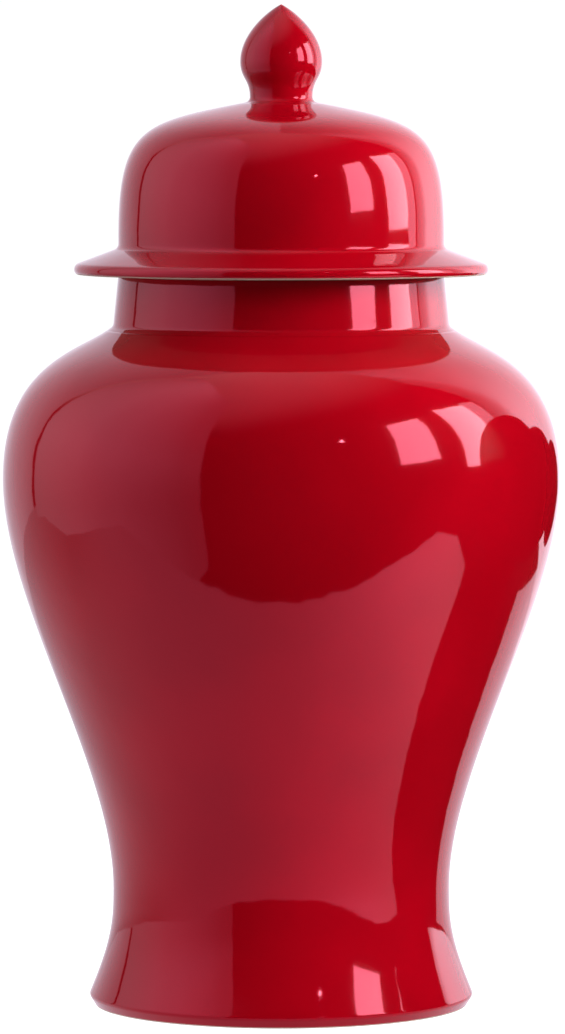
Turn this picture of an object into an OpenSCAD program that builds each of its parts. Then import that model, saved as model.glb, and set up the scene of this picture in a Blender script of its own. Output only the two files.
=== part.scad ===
// Ginger jar: a lidded ceramic vessel that stands free on its foot ring.
// The origin is the centre of the foot on the table, with +Z up, in millimetres.
// The clay was formed in six sections: foot ring, body and neck ring make the jar,
// and cap, collar and finial make the lid, which lifts straight off.

/* [Foot] */
// Diameter of the foot where it is widest, at the top of its bevel
foot_d = 176.4; // [140:0.2:220]
// Height of the bevel round the bottom of the foot
foot_bevel_h = 4.4; // [2:0.2:8]
// Height of the foot ring above its bevel
foot_lip_h = 2; // [1:0.2:5]
// Width of the bevel round the bottom of the foot
foot_bevel_w = 2.8; // [1.6:0.2:5]
// Width of the flat ring that touches the table
foot_land = 10; // [6:0.5:16]
// Depth of the chamfer on the inner edge of the foot ring
foot_inner_chamfer = 1.5; // [0.5:0.5:3]

/* [Flare] */
// Height of the flare, from the foot ring up to the waist
flare_h = 47; // [36:1:70]
// Steepness of the flare where it meets the foot ring, in degrees
flare_angle = 67.5; // [60:0.5:80]
// How far the flare keeps that steepness, as a part of its height
flare_sweep = 0.54; // [0.4:0.02:0.7]
// How gently the flare turns upright at the waist
flare_ease = 0.3; // [0.2:0.05:0.6]

/* [Body] */
// Diameter of the waist, the narrowest part of the body
waist_d = 154.4; // [125:0.2:190]
// Diameter of the belly, the widest part of the body
belly_d = 254.8; // [205:0.2:310]
// Height from the waist up to the belly
belly_rise = 188; // [140:1:240]
// How gently the body turns upright at the waist and at the belly
belly_ease = 0.3; // [0.15:0.01:0.5]
// Height from the belly up to the foot of the neck
shoulder_rise = 68; // [50:1:90]
// How far the belly stays upright as it turns into the shoulder
shoulder_fullness = 0.76; // [0.5:0.02:0.9]
// How far the shoulder keeps its last slope
shoulder_run = 0.36; // [0.2:0.02:0.6]
// Slope of the shoulder where it meets the neck, in degrees from level
shoulder_angle = 35; // [20:1:45]

/* [Neck] */
// Outer diameter of the neck at its rim, which is also the diameter of the dome
neck_d = 148.8; // [120:0.2:180]
// Height of the neck ring, up to its rim
neck_h = 25.5; // [20:0.5:40]
// How much wider the neck is at its foot than at its rim, on each side
neck_flare = 2.4; // [1:0.2:5]
// How far the neck's fillet spreads onto the shoulder
neck_spread = 2.6; // [1.5:0.1:5]
// Radius of the fillet between the neck and the shoulder
neck_fillet = 3; // [1:0.5:6]
// Radius of the rounded edges of the rim
rim_round = 1.6; // [0.6:0.2:3]

/* [Walls] */
// Wall thickness of the body
wall = 7; // [4.5:0.5:9]
// Thickness of the floor
floor_t = 9; // [6:0.5:13]
// Radius inside, where the floor turns up into the wall
heel_round = 14; // [6:1:20]
// Wall thickness of the neck at its rim
neck_wall = 7; // [4.5:0.5:9]

/* [Lid] */
// How far the brim reaches out past the neck's rim
brim_reach = 20.2; // [12:0.2:30]
// Thickness of the brim at its edge
brim_edge = 4.4; // [3.6:0.2:8]
// Slope of the top of the brim, in degrees from level
brim_slope = 20.5; // [10:0.5:32]
// Radius of the brim's lower edge
brim_under_round = 2; // [0.8:0.2:3]
// Radius of the brim's upper edge
brim_top_round = 3; // [0.8:0.2:4]
// Radius of the fillet between the brim and the dome
dome_fillet = 3; // [1:0.5:6]
// Upright stretch of the dome above the brim
dome_upright = 4.5; // [3:0.5:10]
// Height of the crown's seat for the finial above the neck's rim
dome_h = 78; // [60:1:100]
// How square the dome is: higher values have a flatter crown and a tighter corner
dome_fullness = 0.82; // [0.5:0.01:0.9]
// Slope of the crown at the finial, in degrees from level
crown_angle = 11; // [2:0.5:20]
// Wall thickness of the dome
lid_wall = 6; // [4:0.5:8]
// Diameter of the hole through the crown that lets air out of the finial in the kiln
vent_d = 3; // [2:0.5:6]

/* [Collar] */
// Clearance between the collar and the inside of the neck, on each side
collar_clearance = 2; // [1:0.25:4]
// How far the collar hangs down inside the neck
collar_depth = 16; // [8:1:24]
// Wall thickness of the collar
collar_wall = 5; // [3.5:0.5:7]
// Radius of the collar's bottom edges
collar_round = 1.5; // [0.5:0.25:1.5]

/* [Finial] */
// Diameter of the finial's bulb
finial_d = 37.4; // [30:0.1:46]
// Height of the finial, from its seat to its tip
finial_h = 45; // [38:1:60]
// Height of the bulb's widest part above the seat
bulb_h = 19; // [16:0.5:26]
// Diameter of the stem under the bulb
stem_d = 28.6; // [23:0.2:34]
// Height of the narrowest part of the stem above the seat
stem_h = 3; // [2:0.2:6]
// How far the stem's fillet spreads onto the crown
stem_spread = 4; // [2:0.1:6]
// Radius of the fillet between the stem and the crown
stem_fillet = 2.5; // [1:0.5:4]
// Slope of the finial's tip, in degrees from level
tip_angle = 26; // [15:1:45]
// Wall thickness of the finial
finial_wall = 5; // [3.5:0.5:7]

/* [Hidden] */
$fn = 96;

glaze_colour = [0.62, 0.02, 0.07];
clay_colour = [0.66, 0.55, 0.45];

// Straight steps along a long curve, along a short one, and round a filleted corner
long_steps = 24;
short_steps = 12;
corner_steps = 6;

// Heights above the table
foot_ring_h = foot_bevel_h + foot_lip_h;
waist_z = foot_ring_h + flare_h;
belly_z = waist_z + belly_rise;
neck_z = belly_z + shoulder_rise;
rim_z = neck_z + neck_h;
floor_z = foot_ring_h + floor_t;
seat_z = rim_z + dome_h;
tip_z = seat_z + finial_h;

// Radii of the jar
foot_r = foot_d / 2;
land_r = foot_r - foot_bevel_w;
recess_r = land_r - foot_land;
flare_r = foot_r - foot_lip_h / tan(flare_angle);
waist_r = waist_d / 2;
belly_r = belly_d / 2;
neck_r = neck_d / 2;
neck_foot_r = neck_r + neck_flare;
shoulder_r = neck_foot_r + neck_spread;
bore_r = neck_r - neck_wall;

// Radii of the lid, which follow the neck that it sits on
brim_r = neck_r + brim_reach;
dome_r = neck_r;
brim_top_z = rim_z + brim_edge + brim_reach * tan(brim_slope);
spring_z = brim_top_z + dome_upright;
collar_r = bore_r - collar_clearance;
ledge_r = collar_r - collar_wall;
vent_r = vent_d / 2;

// Radii and heights of the finial
bulb_r = finial_d / 2;
stem_r = stem_d / 2;
seat_r = stem_r + stem_spread;
stem_z = seat_z + stem_h;
bulb_z = seat_z + bulb_h;

// How gently the finial's stem turns into the bulb, and the bulb into the tip
stem_ease = 0.49;
bulb_ease = 0.48;
tip_ease = 0.38;

// Direction of a slope in degrees from level, rising towards the axis
function rising(angle) = [-cos(angle), sin(angle)];

// Point, direction and unit normal towards the clay's inside at t along a cubic
// curve through four control points, listed from the bottom of the curve upwards
function curve_point(c, t) =
    pow(1 - t, 3) * c[0] + 3 * t * pow(1 - t, 2) * c[1] + 3 * t * t * (1 - t) * c[2] + pow(t, 3) * c[3];
function curve_direction(c, t) =
    pow(1 - t, 2) * (c[1] - c[0]) + 2 * t * (1 - t) * (c[2] - c[1]) + t * t * (c[3] - c[2]);
function inward(d) = [-d[1], d[0]] / norm(d);

// Points along the curve, or along its parallel that lies the given depth inside it
function curve(c, steps, depth = 0) = [
    for (i = [0:steps])
        let (t = i / steps)
            curve_point(c, t) + depth * inward(curve_direction(c, t))
];
function reversed(points) = [for (i = [len(points) - 1:-1:0]) points[i]];

// Arc of the given radius at corner b between a and c, no longer than its sides allow
function corner_arc(a, b, c, radius) =
    let (
        to_a = (a - b) / norm(a - b),
        to_c = (c - b) / norm(c - b),
        half = acos(to_a * to_c) / 2,
        room = 0.95 * min(norm(a - b), norm(c - b)),
        r = min(radius, room * tan(half)),
        centre = b + (to_a + to_c) / norm(to_a + to_c) * r / sin(half),
        from = b + to_a * r / tan(half) - centre,
        turn = (90 - half) * 2 * sign(cross(to_c, to_a))
    )
    [
        for (i = [0:corner_steps])
            let (angle = turn * i / corner_steps)
                centre + [
                    from[0] * cos(angle) - from[1] * sin(angle),
                    from[0] * sin(angle) + from[1] * cos(angle)
                ]
    ];

// Outline from a list of corners [radius, height] or [radius, height, rounding]
function flat(p) = [p[0], p[1]];
function outline(corners) = [
    for (i = [0:len(corners) - 1])
        let (
            here = corners[i],
            before = corners[(i + len(corners) - 1) % len(corners)],
            after = corners[(i + 1) % len(corners)]
        )
            each len(here) > 2 ? corner_arc(flat(before), flat(here), flat(after), here[2]) : [here]
];
module turned(corners) {
    rotate_extrude() polygon(outline(corners));
}

// Curves of the jar's outside, each from its lower end to its upper end
flare_curve = [
    [flare_r, foot_ring_h],
    [flare_r, foot_ring_h] + flare_sweep * flare_h * rising(flare_angle),
    [waist_r, waist_z - flare_ease * flare_h],
    [waist_r, waist_z]
];
belly_curve = [
    [waist_r, waist_z],
    [waist_r, waist_z + belly_ease * belly_rise],
    [belly_r, belly_z - belly_ease * belly_rise],
    [belly_r, belly_z]
];
shoulder_curve = [
    [belly_r, belly_z],
    [belly_r, belly_z + shoulder_fullness * shoulder_rise],
    [shoulder_r, neck_z] - shoulder_run * (belly_r - shoulder_r) * rising(shoulder_angle),
    [shoulder_r, neck_z]
];

// Curves of the lid's outside
dome_curve = [
    [dome_r, spring_z],
    [dome_r, spring_z + dome_fullness * (seat_z - spring_z)],
    [seat_r, seat_z] - dome_fullness * (dome_r - seat_r) * rising(crown_angle),
    [seat_r, seat_z]
];
stem_curve = [
    [stem_r, stem_z],
    [stem_r, stem_z + stem_ease * (bulb_z - stem_z)],
    [bulb_r, bulb_z - stem_ease * (bulb_z - stem_z)],
    [bulb_r, bulb_z]
];
tip_curve = [
    [bulb_r, bulb_z],
    [bulb_r, bulb_z + bulb_ease * (tip_z - bulb_z)],
    [0, tip_z] - tip_ease * bulb_r * rising(tip_angle),
    [0, tip_z]
];

// Glazed shell: flared base, waist, belly and shoulder, with its floor
module jar_body() {
    inner_wall = concat(
        [for (p = curve(flare_curve, short_steps, wall)) if (p[1] > floor_z + heel_round) p],
        curve(belly_curve, long_steps, wall),
        curve(shoulder_curve, long_steps, wall)
    );
    heel = inner_wall[0];
    last = inner_wall[len(inner_wall) - 1];
    color(glaze_colour)
        turned(concat(
            [[0, foot_ring_h]],
            curve(flare_curve, short_steps),
            curve(belly_curve, long_steps),
            curve(shoulder_curve, long_steps),
            [[bore_r, neck_z], [bore_r, last[1] + (last[0] - bore_r) * tan(shoulder_angle)]],
            reversed(inner_wall),
            [[heel[0], floor_z, heel_round], [0, floor_z]]
        ));
}

// Bare clay ring under the floor, bevelled outside, that touches the table
module foot_ring() {
    color(clay_colour)
        turned([
            [recess_r + foot_inner_chamfer, 0],
            [land_r, 0],
            [foot_r, foot_bevel_h, foot_bevel_h / 2],
            [flare_r, foot_ring_h],
            [recess_r, foot_ring_h],
            [recess_r, foot_inner_chamfer]
        ]);
}

// Upright neck with a filleted foot on the shoulder and a flat rim that seats the lid
module neck_ring() {
    fillet_z = neck_z + neck_spread * tan(shoulder_angle);
    color(glaze_colour)
        turned([
            [bore_r, neck_z],
            [shoulder_r, neck_z],
            [neck_foot_r, fillet_z, neck_fillet],
            [neck_r, rim_z, rim_round],
            [bore_r, rim_z, rim_round]
        ]);
}

// Hollow dome with its sloping brim, and a ledge inside that carries the collar
module lid_cap() {
    inner_dome = curve(dome_curve, long_steps, lid_wall);
    top = inner_dome[len(inner_dome) - 1];
    color(glaze_colour)
        turned(concat(
            [
                [ledge_r, rim_z],
                [brim_r, rim_z, brim_under_round],
                [brim_r, rim_z + brim_edge, brim_top_round],
                [dome_r, brim_top_z, dome_fillet]
            ],
            curve(dome_curve, long_steps),
            [[vent_r, seat_z], [vent_r, top[1]]],
            reversed(inner_dome),
            [[dome_r - lid_wall, brim_top_z], [ledge_r, rim_z + brim_edge]]
        ));
}

// Ring under the ledge that hangs inside the neck and keeps the lid in place
module lid_collar() {
    color(clay_colour)
        turned([
            [ledge_r, rim_z - collar_depth, collar_round],
            [collar_r, rim_z - collar_depth, collar_round],
            [collar_r, rim_z],
            [ledge_r, rim_z]
        ]);
}

// Hollow bud that the lid is lifted by, on a filleted stem
module finial() {
    hollow = [
        for (p = concat(
            curve(stem_curve, short_steps, finial_wall),
            curve(tip_curve, long_steps, finial_wall)
        )) if (p[0] > vent_r / 2) p
    ];
    hollow_top = hollow[len(hollow) - 1];
    fillet_z = seat_z + stem_spread * tan(crown_angle);
    color(glaze_colour)
        turned(concat(
            [[stem_r - finial_wall, seat_z], [seat_r, seat_z], [stem_r, fillet_z, stem_fillet]],
            curve(stem_curve, short_steps),
            curve(tip_curve, long_steps),
            [[0, hollow_top[1]]],
            reversed(hollow)
        ));
}

jar_body();
foot_ring();
neck_ring();
lid_cap();
lid_collar();
finial();
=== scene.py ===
"""Looks of a tall lidded ginger jar, glazed deep red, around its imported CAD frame. Units are metres."""

import math

import bpy
from mathutils import Matrix, Vector
from mathutils.geometry import interpolate_bezier


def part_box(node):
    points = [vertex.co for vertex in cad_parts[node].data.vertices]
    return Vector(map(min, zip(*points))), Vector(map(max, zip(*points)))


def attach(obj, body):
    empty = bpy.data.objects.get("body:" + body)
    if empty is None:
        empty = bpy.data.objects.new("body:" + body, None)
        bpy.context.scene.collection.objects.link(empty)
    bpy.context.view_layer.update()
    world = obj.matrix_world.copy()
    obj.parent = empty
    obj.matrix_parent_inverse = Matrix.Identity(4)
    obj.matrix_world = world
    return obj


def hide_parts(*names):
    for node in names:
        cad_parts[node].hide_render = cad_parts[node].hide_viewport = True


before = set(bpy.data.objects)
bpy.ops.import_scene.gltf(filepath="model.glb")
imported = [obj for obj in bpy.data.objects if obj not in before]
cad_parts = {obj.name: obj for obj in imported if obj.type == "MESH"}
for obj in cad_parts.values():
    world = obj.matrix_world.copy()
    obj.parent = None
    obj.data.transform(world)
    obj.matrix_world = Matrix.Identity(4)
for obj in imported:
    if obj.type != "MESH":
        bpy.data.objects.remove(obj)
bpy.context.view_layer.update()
mm = 0.001

# ---------------------------------------------------------------------------------------------
# Jar body: the big shell with its flared base, narrow waist, full belly and shoulder.
# It is slip-cast clay, trimmed on the wheel, dipped in deep red glaze outside and washed with
# clear glaze inside, where faint rings from the wheel still show.
body_low, body_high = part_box("jar_body")
belly_r = body_high.x
foot_top_z = body_low.z
neck_z = body_high.z
flare_r, flare_slope = 87.37 * mm, 67.5
flare_sweep, flare_ease = 0.54, 0.3
waist_r, waist_z = 77.2 * mm, 53.4 * mm
belly_z, belly_ease = 241.4 * mm, 0.3
shoulder_r, shoulder_slope = 79.4 * mm, 35
shoulder_fullness, shoulder_run = 0.76, 0.36
neck_bore_r = 67.4 * mm
wall, floor_z, heel_round = 7 * mm, 15.4 * mm, 14 * mm


def rising(degrees):
    """Unit step that rises towards the axis at this slope from level, as (radius, height)."""
    return Vector((-math.cos(math.radians(degrees)), math.sin(math.radians(degrees))))


def sweep(start, start_handle, end_handle, end, steps):
    """Points along a cubic curve, both ends included, as (radius, height)."""
    return [Vector(p) for p in interpolate_bezier(start, start_handle, end_handle, end, steps + 1)]


def parallel(points, depth):
    """The same line moved into the clay, which lies to the left of the way the points run."""
    moved = []
    for i, point in enumerate(points):
        along = points[min(i + 1, len(points) - 1)] - points[max(i - 1, 0)]
        moved.append(point + depth * Vector((-along.y, along.x)).normalized())
    return moved


def round_off(before, corner, after, radius, steps=8):
    """Arc that rounds a corner between its two neighbours."""
    to_before = (before - corner).normalized()
    to_after = (after - corner).normalized()
    half = to_before.angle(to_after) / 2
    reach = radius / math.tan(half)
    centre = corner + (to_before + to_after).normalized() * radius / math.sin(half)
    spoke = corner + to_before * reach - centre
    turn = (math.pi - 2 * half) * (1 if to_before.cross(to_after) < 0 else -1)
    arc = []
    for i in range(steps + 1):
        angle = turn * i / steps
        arc.append(centre + Matrix.Rotation(angle, 2) @ spoke)
    return arc


def turn_on_wheel(name, outline, turns=192):
    """A closed half-section spun round the jar's axis: a point is drawn out along it, then spun."""
    bpy.ops.object.select_all(action="DESELECT")
    start = outline[0]
    bpy.ops.mesh.primitive_plane_add(size=2 * mm, location=(start.x, 0, start.y))
    piece = bpy.context.object
    bpy.ops.object.transform_apply(location=True, rotation=True, scale=True)
    bpy.ops.object.mode_set(mode="EDIT")
    bpy.ops.mesh.merge(type="CENTER")
    here = start
    for point in outline[1:] + [start]:
        step = point - here
        bpy.ops.mesh.extrude_region_move(TRANSFORM_OT_translate={"value": (step.x, 0, step.y)})
        here = point
    bpy.ops.mesh.select_all(action="SELECT")
    bpy.ops.mesh.remove_doubles(threshold=mm / 1000)
    bpy.ops.mesh.spin(steps=turns, angle=2 * math.pi, center=(0, 0, 0), axis=(0, 0, 1))
    bpy.ops.mesh.select_all(action="SELECT")
    bpy.ops.mesh.remove_doubles(threshold=mm / 200)
    bpy.ops.mesh.dissolve_degenerate(threshold=mm / 1000)
    bpy.ops.mesh.select_all(action="SELECT")
    bpy.ops.mesh.normals_make_consistent(inside=False)
    bpy.ops.object.mode_set(mode="OBJECT")
    bpy.ops.object.shade_smooth_by_angle(angle=math.radians(35))
    piece.name = piece.data.name = name
    return piece


flare_h = waist_z - foot_top_z
belly_rise = belly_z - waist_z
shoulder_rise = neck_z - belly_z
flare_start = Vector((flare_r, foot_top_z))
waist = Vector((waist_r, waist_z))
belly = Vector((belly_r, belly_z))
shoulder_end = Vector((shoulder_r, neck_z))
up = Vector((0, 1))

flare = sweep(
    flare_start,
    flare_start + flare_sweep * flare_h * rising(flare_slope),
    waist - flare_ease * flare_h * up,
    waist,
    steps=20,
)
side = sweep(
    waist,
    waist + belly_ease * belly_rise * up,
    belly - belly_ease * belly_rise * up,
    belly,
    steps=56,
)
shoulder = sweep(
    belly,
    belly + shoulder_fullness * shoulder_rise * up,
    shoulder_end - shoulder_run * (belly_r - shoulder_r) * rising(shoulder_slope),
    shoulder_end,
    steps=40,
)
outside = flare[:-1] + side[:-1] + shoulder
ring_pitch, ring_depth = 9 * mm, 0.25 * mm
inside = [
    point + ring_depth * Vector((math.cos(math.tau * point.y / ring_pitch), 0))
    for point in parallel(outside, wall)
    if point.y > floor_z + heel_round
]
heel = Vector((inside[0].x, floor_z))
floor_centre = Vector((0, floor_z))
mouth_rise = (inside[-1].x - neck_bore_r) * math.tan(math.radians(shoulder_slope))
throat = Vector((neck_bore_r, inside[-1].y + mouth_rise))
jar_body = turn_on_wheel(
    "jar_body_glazed",
    outside
    + [Vector((neck_bore_r, neck_z)), throat]
    + inside[::-1]
    + round_off(inside[0], heel, floor_centre, heel_round, steps=12)
    + [floor_centre, Vector((0, foot_top_z))],
)


class Wire:
    """One output of a shader node. It adds, subtracts and multiplies the way a number does."""

    def __init__(self, socket):
        self.socket = socket
        self.tree = socket.id_data

    def node(self, kind, settings, sockets, output=0):
        """Another node in the same tree: its settings first, then its inputs as values or wires."""
        made = self.tree.nodes.new(kind)
        for key, value in settings.items():
            if key != "stops":
                setattr(made, key, value)
                continue
            for i, (place, level) in enumerate(value):
                stop = made.color_ramp.elements[i] if i < 2 else made.color_ramp.elements.new(place)
                stop.position, stop.color = place, (level, level, level, 1)
        for key, value in sockets.items():
            if isinstance(value, Wire):
                self.tree.links.new(value.socket, made.inputs[key])
            else:
                made.inputs[key].default_value = value
        return Wire(made.outputs[output])

    def parts(self):
        """The x, y and z of a position, as wires."""
        split = self.node("ShaderNodeSeparateXYZ", {}, {0: self}).socket.node
        return [Wire(output) for output in split.outputs]

    def _math(self, operation, *values):
        return self.node("ShaderNodeMath", {"operation": operation}, dict(enumerate(values)))

    def __add__(self, other):
        return self._math("ADD", self, other)

    def __radd__(self, other):
        return self._math("ADD", other, self)

    def __sub__(self, other):
        return self._math("SUBTRACT", self, other)

    def __rsub__(self, other):
        return self._math("SUBTRACT", other, self)

    def __mul__(self, other):
        return self._math("MULTIPLY", self, other)

    def __rmul__(self, other):
        return self._math("MULTIPLY", other, self)

    def between(self, low, high):
        """0 below low, 1 above high, and a smooth rise between them."""
        return self.node(
            "ShaderNodeMapRange",
            {"interpolation_type": "SMOOTHSTEP"},
            {"Value": self, "From Min": low, "From Max": high},
        )

    def noise(self, size, detail=3.0):
        """Cloudy noise, about 0.5, with blobs of this size in metres; self is a position."""
        return self.node(
            "ShaderNodeTexNoise", {}, {"Vector": self, "Scale": 1 / size, "Detail": detail}
        )

    def blend(self, low, high):
        """The colour low where this wire is 0 and the colour high where it is 1."""
        return self.node("ShaderNodeMix", {"data_type": "RGBA"}, {0: self, 6: low, 7: high}, output=2)


def new_finish(name):
    """An empty material: itself, its shader node, and the position on the piece as a wire."""
    material = bpy.data.materials.new(name)
    material.use_nodes = True
    tree = material.node_tree
    shader = tree.nodes["Principled BSDF"]
    place = Wire(tree.nodes.new("ShaderNodeTexCoord").outputs["Object"])
    return material, shader, place


def plug(shader, **links):
    """Joins wires to the shader's sockets, with _ for each space in a socket's name."""
    for name, wire in links.items():
        wire.tree.links.new(wire.socket, shader.inputs[name.replace("_", " ")])


def red_glaze():
    """Deep red glaze: clouded by a few percent, faintly rippled like poured glass."""
    material, shader, place = new_finish("red_glaze")
    clouds = place.noise(70 * mm, detail=2.0)
    grain = place.noise(1.6 * mm, detail=2.0)
    colour = clouds.between(0.35, 0.7).blend((0.25, 0.0002, 0.004, 1), (0.29, 0.0003, 0.005, 1))
    shader.inputs["Roughness"].default_value = 0.05
    shader.inputs["IOR"].default_value = 1.6
    shader.inputs["Specular Tint"].default_value = (1, 0.2, 0.3, 1)
    ripple = place.noise(26 * mm, detail=2.0) + 0.02 * grain
    bump = place.node(
        "ShaderNodeBump", {}, {"Strength": 0.5, "Distance": 0.4 * mm, "Height": ripple}
    )
    plug(shader, Base_Color=colour, Normal=bump)
    return material


def clear_glaze():
    """Thin clear glaze over pale clay, as inside the jar."""
    material, shader, place = new_finish("clear_glazed_clay")
    clouds = place.noise(30 * mm)
    colour = clouds.between(0.3, 0.7).blend((0.62, 0.55, 0.46, 1), (0.72, 0.66, 0.58, 1))
    shader.inputs["Roughness"].default_value = 0.18
    plug(shader, Base_Color=colour)
    return material


def bare_clay():
    """Unglazed fired clay: matt, warm grey-brown, with a fine sandy grain."""
    material, shader, place = new_finish("bare_clay")
    grain = place.noise(0.7 * mm, detail=4.0)
    blotch = place.noise(18 * mm)
    mottle = (0.5 * grain + 0.5 * blotch).between(0.35, 0.65)
    colour = mottle.blend((0.42, 0.30, 0.22, 1), (0.56, 0.43, 0.33, 1))
    shader.inputs["Roughness"].default_value = 0.85
    bump = place.node("ShaderNodeBump", {}, {"Strength": 0.5, "Distance": 0.15 * mm, "Height": grain})
    plug(shader, Base_Color=colour, Normal=bump)
    return material


glaze, lining, clay = red_glaze(), clear_glaze(), bare_clay()


def dress(piece, finish_at):
    """Gives each face the finish that finish_at chooses from its centre's radius and height."""
    finishes = []
    for face in piece.data.polygons:
        radius = math.hypot(face.center.x, face.center.y)
        finish = finish_at(radius, face.center.z, face.normal)
        if finish not in finishes:
            finishes.append(finish)
            piece.data.materials.append(finish)
        face.material_index = finishes.index(finish)


def radius_at(outline, height):
    """Radius of an outline that rises all the way, at this height."""
    for lower, upper in zip(outline, outline[1:]):
        if lower.y <= height <= upper.y:
            share = (height - lower.y) / (upper.y - lower.y)
            return lower.x + share * (upper.x - lower.x)
    return outline[0].x if height < outline[0].y else outline[-1].x


def body_finish(radius, height, normal):
    if height < foot_top_z + 0.1 * mm:
        return clay
    if height > neck_z - 0.1 * mm and normal.z > 0.99:
        return clay
    return glaze if radius > radius_at(outside, height) - wall / 2 else lining


dress(jar_body, body_finish)
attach(jar_body, "jar")
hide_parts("jar_body")

# ---------------------------------------------------------------------------------------------
# Foot ring: the ring the jar stands on, trimmed with a bevel and luted under the floor.
# Its sides are dipped with the body, and its land is wiped back to bare clay before firing.
_, foot_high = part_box("foot_ring")
bevel_h, bevel_w = 4.4 * mm, 2.8 * mm
foot_r = 88.2 * mm
land_r = foot_r - bevel_w
foot_land = 10 * mm
recess_r = land_r - foot_land
recess_chamfer = 1.5 * mm
glaze_line_z = 0.5 * mm
foot_corner = Vector((foot_r, bevel_h))
land_edge = Vector((land_r, 0))
foot_ring = turn_on_wheel(
    "foot_ring_bevelled",
    [Vector((recess_r + recess_chamfer, 0)), land_edge]
    + [land_edge.lerp(foot_corner, glaze_line_z / bevel_h)]
    + round_off(land_edge, foot_corner, flare_start, bevel_h / 2)
    + [flare_start, Vector((recess_r, foot_high.z)), Vector((recess_r, recess_chamfer))],
)


def foot_finish(radius, height, normal):
    return glaze if radius > land_r - mm and height > glaze_line_z and normal.z < 0.99 else clay


dress(foot_ring, foot_finish)
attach(foot_ring, "jar")
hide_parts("foot_ring")

# ---------------------------------------------------------------------------------------------
# Neck ring: the short upright neck, luted on the shoulder with a smoothed fillet of clay.
# It is glazed with the body up to its rim, whose flat top is wiped bare as the lid's seat.
_, neck_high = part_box("neck_ring")
rim_z = neck_high.z
neck_r = 74.4 * mm
neck_foot_r = 76.8 * mm
neck_fillet, rim_round = 3 * mm, 1.6 * mm
neck_foot_rise = (shoulder_r - neck_foot_r) * math.tan(math.radians(shoulder_slope))
neck_corner = Vector((neck_foot_r, neck_z + neck_foot_rise))
rim_out, rim_in = Vector((neck_r, rim_z)), Vector((neck_bore_r, rim_z))
neck_base_in = Vector((neck_bore_r, neck_z))
neck_side = [neck_corner.lerp(rim_out, k / 12) for k in range(2, 11)]
neck_ring = turn_on_wheel(
    "neck_ring_glazed",
    [neck_base_in, shoulder_end]
    + round_off(shoulder_end, neck_corner, rim_out, neck_fillet)
    + neck_side
    + round_off(neck_corner, rim_out, rim_in, rim_round)
    + round_off(rim_out, rim_in, neck_base_in, rim_round),
)


def neck_finish(radius, height, normal):
    if height > rim_z - 0.8 * mm or normal.z < -0.9:
        return clay
    return glaze if radius > neck_r - 1.5 * mm else lining


dress(neck_ring, neck_finish)
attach(neck_ring, "jar")
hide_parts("neck_ring")

# ---------------------------------------------------------------------------------------------
# Lid cap: the hollow dome and its sloping brim, cast in one and glazed red on top.
# The underside of the brim is bare, because the lid is fired standing on it.
_, cap_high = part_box("lid_cap")
seat_z = cap_high.z
brim_reach, brim_edge, brim_slope = 20.2 * mm, 4.4 * mm, 20.5
brim_under_round, brim_top_round = 2 * mm, 3 * mm
brim_r = neck_r + brim_reach
brim_top_z = rim_z + brim_edge + (brim_r - neck_r) * math.tan(math.radians(brim_slope))
dome_upright, dome_fillet, dome_fullness = 4.5 * mm, 3 * mm, 0.82
dome_base_z = brim_top_z + dome_upright
seat_r, crown_slope, lid_wall = 18.3 * mm, 11, 6 * mm
ledge_r = 60.4 * mm
vent_r = 1.5 * mm
dome_base, seat = Vector((neck_r, dome_base_z)), Vector((seat_r, seat_z))
dome = sweep(
    dome_base,
    dome_base + dome_fullness * (seat_z - dome_base_z) * up,
    seat - dome_fullness * (neck_r - seat_r) * rising(crown_slope),
    seat,
    steps=48,
)
under_dome = parallel(dome, lid_wall)
brim_low, brim_high = Vector((brim_r, rim_z)), Vector((brim_r, rim_z + brim_edge))
brim_root = Vector((neck_r, brim_top_z))
ledge = Vector((ledge_r, rim_z))
ledge_top = ledge + brim_edge * up
dome_foot_in = Vector((neck_r - lid_wall, brim_top_z))
brim_side = [brim_high.lerp(brim_root, k / 10) for k in range(2, 9)]
lid_cap = turn_on_wheel(
    "lid_cap_glazed",
    [ledge]
    + round_off(ledge, brim_low, brim_high, brim_under_round)
    + round_off(brim_low, brim_high, brim_root, brim_top_round)
    + brim_side
    + round_off(brim_high, brim_root, dome_base, dome_fillet)
    + dome
    + [Vector((vent_r, seat_z)), Vector((vent_r, under_dome[-1].y))]
    + under_dome[::-1]
    + [dome_foot_in, ledge_top],
)


def cap_finish(radius, height, normal):
    if height < rim_z + 0.6 * mm or (height > seat_z - 0.1 * mm and radius < seat_r):
        return clay
    return glaze if radius > radius_at(dome, height) - lid_wall / 2 else lining


dress(lid_cap, cap_finish)
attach(lid_cap, "lid")
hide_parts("lid_cap")

# ---------------------------------------------------------------------------------------------
# Lid collar: the locating ring that hangs inside the neck, luted under the ledge, left bare.
collar_low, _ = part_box("lid_collar")
collar_r = 65.4 * mm
collar_round = 1.5 * mm
collar_in_low, collar_out_low = Vector((ledge_r, collar_low.z)), Vector((collar_r, collar_low.z))
collar_out_high, collar_in_high = Vector((collar_r, rim_z)), Vector((ledge_r, rim_z))
lid_collar = turn_on_wheel(
    "lid_collar_bare",
    round_off(collar_in_high, collar_in_low, collar_out_low, collar_round)
    + round_off(collar_in_low, collar_out_low, collar_out_high, collar_round)
    + [collar_out_high, collar_in_high],
)
dress(lid_collar, lambda radius, height, normal: clay)
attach(lid_collar, "lid")
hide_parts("lid_collar")

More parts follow.
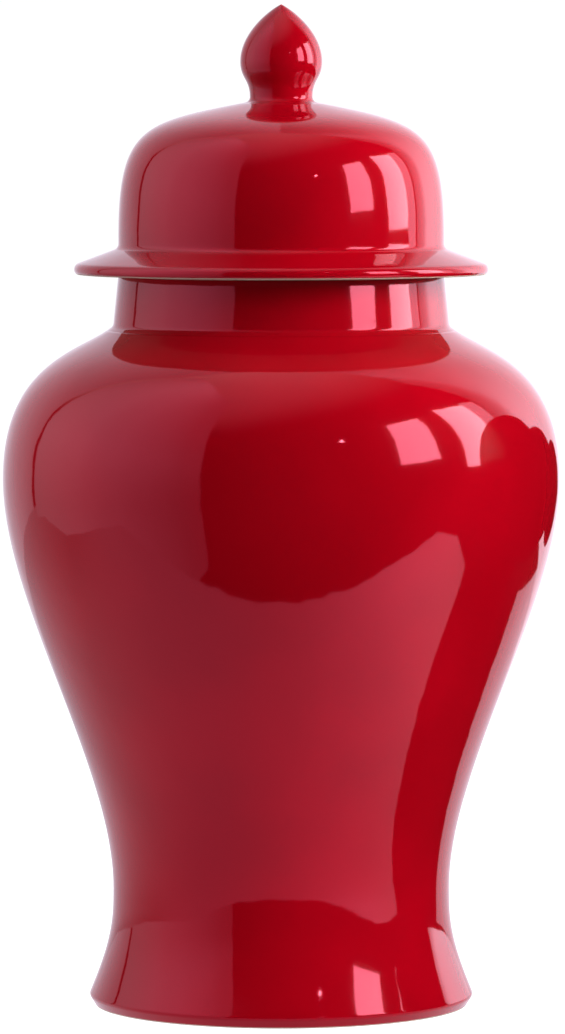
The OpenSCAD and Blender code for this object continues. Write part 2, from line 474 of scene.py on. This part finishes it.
# ---------------------------------------------------------------------------------------------
# Finial: the hollow bud that the lid is lifted by, luted on the crown and glazed with it.
_, finial_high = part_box("finial")
tip_z = finial_high.z
bulb_r, bulb_z = finial_high.x, seat_z + 19 * mm
stem_r, stem_z, stem_fillet = 14.3 * mm, seat_z + 3 * mm, 2.5 * mm
stem_ease, bulb_ease, tip_ease, tip_slope = 0.49, 0.48, 0.38, 26
finial_wall = 5 * mm
stem, bulb, tip = Vector((stem_r, stem_z)), Vector((bulb_r, bulb_z)), Vector((0, tip_z))
stem_side = sweep(
    stem,
    stem + stem_ease * (bulb_z - stem_z) * up,
    bulb - stem_ease * (bulb_z - stem_z) * up,
    bulb,
    steps=20,
)
bulb_top = sweep(
    bulb,
    bulb + bulb_ease * (tip_z - bulb_z) * up,
    tip - tip_ease * bulb_r * rising(tip_slope),
    tip,
    steps=28,
)
bud = stem_side[:-1] + bulb_top
hollow = [point for point in parallel(bud, finial_wall) if point.x > vent_r / 2]
stem_foot_rise = (seat_r - stem_r) * math.tan(math.radians(crown_slope))
stem_corner = Vector((stem_r, seat_z + stem_foot_rise))
finial = turn_on_wheel(
    "finial_bud",
    [Vector((stem_r - finial_wall, seat_z)), seat]
    + round_off(seat, stem_corner, stem, stem_fillet)
    + bud
    + [Vector((0, hollow[-1].y))]
    + hollow[::-1],
    turns=128,
)


def finial_finish(radius, height, normal):
    return clay if height < seat_z + 0.1 * mm else glaze


dress(finial, finial_finish)
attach(finial, "lid")
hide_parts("finial")

# ---------------------------------------------------------------------------------------------
# Studio: a pale floor in a white surround. Beside the jar, out of the camera's sight, are the
# things that light it and show in its glaze: two tall window panes to the right, a dark shrub
# below them, a table whose glow is painted window light, a pale wall to the left, a backdrop,
# and a dark room in front.
bpy.ops.object.select_all(action="DESELECT")
bpy.ops.mesh.primitive_plane_add(size=12)
floor = bpy.context.object
floor.name = "studio_floor"
floor.visible_glossy = False
floor.visible_diffuse = False
floor_paint, floor_shader, _ = new_finish("pale_floor")
floor_shader.inputs["Base Color"].default_value = (0.25, 0.25, 0.25, 1)
floor_shader.inputs["Roughness"].default_value = 0.8
floor_shader.inputs["Emission Color"].default_value = (1, 1, 1, 1)
floor_shader.inputs["Emission Strength"].default_value = 0.93
floor.data.materials.append(floor_paint)

camera_data = bpy.data.cameras.new("camera")
camera_data.sensor_width = 36
camera_data.lens = 223
camera_data.clip_end = 50
camera = bpy.data.objects.new("camera", camera_data)
bpy.context.scene.collection.objects.link(camera)
bpy.context.scene.camera = camera
camera.location = (0, -2.928, 0.4145)
aim = Vector((0.0006, 0, 0.2237))
camera.rotation_euler = (aim - camera.location).to_track_quat("-Z", "Y").to_euler()
bpy.context.scene.view_settings.view_transform = "Standard"

world = bpy.data.worlds.new("studio")
bpy.context.scene.world = world
world.use_nodes = True
background = world.node_tree.nodes["Background"]
background.inputs["Color"].default_value = (1, 1, 1, 1)
# The camera sees white all round; the jar sees a dim room with a bright ceiling.
skyward = Wire(world.node_tree.nodes.new("ShaderNodeTexCoord").outputs["Generated"])
rightward, _, upward = skyward.parts()
room_glow, ceiling_glow = 0.02, 1.15
ceiling = (upward - 0.35 * rightward).between(0.62, 1.05) * ceiling_glow + room_glow
seen = skyward.node("ShaderNodeLightPath", {}, {})
world.node_tree.links.new((ceiling + seen).socket, background.inputs["Strength"])


def daylight(name, place, target, width, height, brightness, colour=(1, 0.94, 1)):
    """A pane of daylight, turned to its target; its brightness is in watts per square metre."""
    data = bpy.data.lights.new(name, "AREA")
    data.shape = "RECTANGLE"
    data.size, data.size_y = width, height
    data.energy = brightness * width * height
    data.color = colour
    light = bpy.data.objects.new(name, data)
    bpy.context.scene.collection.objects.link(light)
    light.visible_camera = False
    light.location = place
    light.rotation_euler = (target - place).to_track_quat("-Z", "Y").to_euler()
    return light


# The glare on each pane shows only as a reflection, and leans to the tints that the glaze
# reflects least.
pane_brightness, glare_brightness = 37.7, 314.2
window_turn = math.radians(72)
window_out = Vector((math.sin(window_turn), -math.cos(window_turn), 0))
window_along = Vector((-window_out.y, window_out.x, 0))
window_distance = 1.17
for name, along, middle_z, width, height in (
    ("window_pane_near", -0.31, 0.7975, 0.40, 0.685),
    ("window_pane_far", 0.375, 0.80, 0.45, 0.877),
):
    place = window_distance * window_out + along * window_along + middle_z * Vector((0, 0, 1))
    target = place - window_out
    daylight(name, place, target, width, height, pane_brightness)
    glare = daylight(name + "_glare", place, target, width, height, glare_brightness, (0.25, 1, 0.8))
    glare.visible_diffuse = False

side_place, dome_middle = Vector((0.72, -0.45, 0.6)), Vector((0, 0, 0.35))
side_light = daylight("side_daylight", side_place, dome_middle, 0.4, 0.4, 43.75, (1, 1, 1))
side_light.visible_glossy = False


def unseen(thing, name):
    """Marks a thing as part of the studio that lights and is reflected, but isn't seen directly."""
    thing.name = name
    thing.visible_camera = False


def glowing_paint(name):
    """A paint that only gives off light, the position on it, and a function to set its glow."""
    paint, shader, spot = new_finish(name)
    shader.inputs["Base Color"].default_value = (0, 0, 0, 1)
    shader.inputs["Specular IOR Level"].default_value = 0
    shader.inputs["Emission Strength"].default_value = 1

    def set_glow(level):
        lilac = level.node("ShaderNodeVectorMath", {"operation": "MULTIPLY"}, {0: level, 1: (1.06, 1, 1.15)})
        plug(shader, Emission_Color=lilac)

    return paint, spot, set_glow


def glowing_card(name, place, facing, width, height, glow, stops, fade=0.0, span=(-0.45, 0.05)):
    """An upright card: its glow follows the stops from end to end, and fades this much over span."""
    bpy.ops.mesh.primitive_plane_add(size=1, location=place)
    card = bpy.context.object
    card.rotation_euler = (math.pi / 2, 0, facing)
    card.scale = (width, height, 1)
    paint, spot, set_glow = glowing_paint(name)
    along, up_card, _ = spot.parts()
    level = along.node("ShaderNodeValToRGB", {"stops": stops}, {0: along + 0.5})
    set_glow(level * glow * (1 - fade * up_card.between(*span)))
    card.data.materials.append(paint)
    unseen(card, name)


glowing_card(
    "left_wall", (-1.2, -0.63, 1.5), math.pi / 2, 2.54, 5, 1.9,
    [(0, 0.45), (0.185, 0.55), (0.378, 0.8), (0.56, 0.98), (0.73, 0.94), (1, 0.45)],
    fade=0.35, span=(-0.17, -0.30),
)
glowing_card(
    "backdrop_left", (-0.715, 0.86, 2), 0, 1.43, 4, 1.0,
    [(0, 0.7), (0.6, 0.76), (0.8, 0.88), (1, 1)],
)
glowing_card(
    "backdrop_right", (1.15, 0.86, 2), 0, 2.3, 4, 3.2,
    [(0, 0.35), (0.23, 0.43), (0.31, 0.54), (0.415, 0.75), (0.56, 1), (0.7, 0.6), (1, 0.4)],
    fade=0.6,
)
reveal = window_distance * window_out + 0.725 * window_along + Vector((0, 0, 0.775))
glowing_card("window_reveal", reveal, window_turn, 0.25, 1.05, 3.2, [(0, 1), (1, 0.9)])

lamp_data = bpy.data.lights.new("far_lamp", "POINT")
lamp_data.shadow_soft_size = 0.045
lamp_data.energy = 3
lamp = bpy.data.objects.new("far_lamp", lamp_data)
bpy.context.scene.collection.objects.link(lamp)
lamp.location = (1.133, -2.323, 1.523)
lamp.visible_camera = False


def flat_card(name, corners, height):
    """A level card, given by its corners in order round its edge, that casts no shadow."""
    bpy.ops.mesh.primitive_circle_add(vertices=len(corners), fill_type="NGON")
    card = bpy.context.object
    for corner, (x, y) in zip(card.data.vertices, corners):
        corner.co = (x, y, height)
    card.visible_shadow = False
    unseen(card, name)
    return card


# The table only glows. Its glow is painted light: the windows' light on a white table, brighter in front and
# towards the windows on the right, and dimmer behind the jar.
table = flat_card(
    "window_lit_table",
    ((-0.85, -0.36), (0.75, -0.36), (0.75, 0.86), (-1.65, 0.86), (-1.1, 0.4), (-0.85, 0.1)),
    0.1 * mm,
)
table_paint, spot, set_glow = glowing_paint("window_lit_table")
across, deep_in, _ = spot.parts()
front_glow = 1.0 + 1.45 * across.between(-0.05, 0.45)
back_glow = 0.45 + 0.5 * across.between(-0.8, 0.2)
behind = deep_in.between(-0.3, 0.1)
set_glow(front_glow * (1 - behind) + back_glow * behind)
table.data.materials.append(table_paint)

dark_paint, dark_shader, _ = new_finish("dark_leaves_and_table_card")
dark_shader.inputs["Base Color"].default_value = (0.01, 0.01, 0.01, 1)
dark_shader.inputs["Specular IOR Level"].default_value = 0
# A black level card on the table, to the right of and behind the jar. It gives back no light and shows as a
# dark wedge low in the glaze.
dark_card = flat_card(
    "dark_table_card",
    (
        (0.12, -0.085), (0.55, -0.09), (0.75, -0.2), (1.3, -0.4),
        (1.3, 0.86), (0.6, 0.86), (0.55, 0.4), (0.15, 0.075),
    ),
    0.2 * mm,
)
dark_card.data.materials.append(dark_paint)
for name, place, radius in (
    ("shrub_crown", (0.22, -0.03, 0.265), 0.06),
    ("shrub_leaves", (0.235, 0.03, 0.225), 0.06),
    ("shrub_side", (0.265, 0.09, 0.235), 0.07),
    ("shrub_back", (0.24, 0.20, 0.22), 0.05),
    ("shrub_front", (0.53, -0.01, 0.20), 0.12),
    ("shrub_foot", (0.55, 0.10, 0.10), 0.12),
):
    bpy.ops.mesh.primitive_uv_sphere_add(radius=radius, location=place)
    clump = bpy.context.object
    clump.data.materials.append(dark_paint)
    clump.visible_shadow = name in ("shrub_front", "shrub_foot")
    unseen(clump, name)
